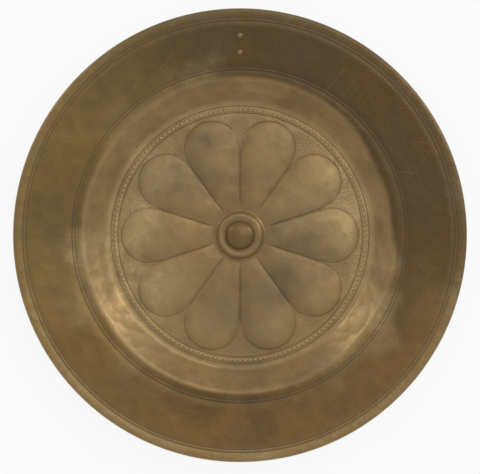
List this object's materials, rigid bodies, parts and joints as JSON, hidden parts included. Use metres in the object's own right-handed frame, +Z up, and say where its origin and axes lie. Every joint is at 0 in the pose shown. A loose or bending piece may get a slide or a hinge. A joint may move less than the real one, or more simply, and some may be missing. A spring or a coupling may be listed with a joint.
{
  "type": "alms plate",
  "caption": "Round brass alms plate with a broad plain rim, a shallow well, a lobed rosette floor, a riveted centre boss, a wired edge and a hanging ring behind the rim.",
  "frame": {"origin": "centre of the plate, on the surface that it stands on", "axes": "+Z up out of the well, +Y towards the hanging ring, which is the top of the pictured view"},
  "size_m": [0.4, 0.4, 0.0269],
  "materials": {
    "dish_brass": "old brass sheet, brown patina on the rim, rubbed paler on the rosette",
    "wire_iron": "drawn iron wire, dark oxide",
    "boss_brass": "smooth cast brass, dark patina",
    "rove_brass": "cut brass sheet, dull",
    "strap_brass": "bent brass strip, worn",
    "ring_brass": "brass wire, polished by wear",
    "rivet_brass": "hammered brass"
  },
  "bodies": {
    "plate": {"dish": "dish_brass", "edge_wire": "wire_iron", "centre_boss": "boss_brass", "boss_rove": "rove_brass", "hanger_strap": "strap_brass", "hanger_rivet_inner": "rivet_brass", "hanger_rivet_outer": "rivet_brass"},
    "ring": {"hanger_ring": "ring_brass"}
  },
  "joints": [
    {"name": "ring_swing", "type": "hinge", "parent": "plate", "child": "ring", "pos_m": [0, 0.16916, 0.02014], "axis": [1, 0, 0], "range_deg": [-82, 96]}
  ]
}
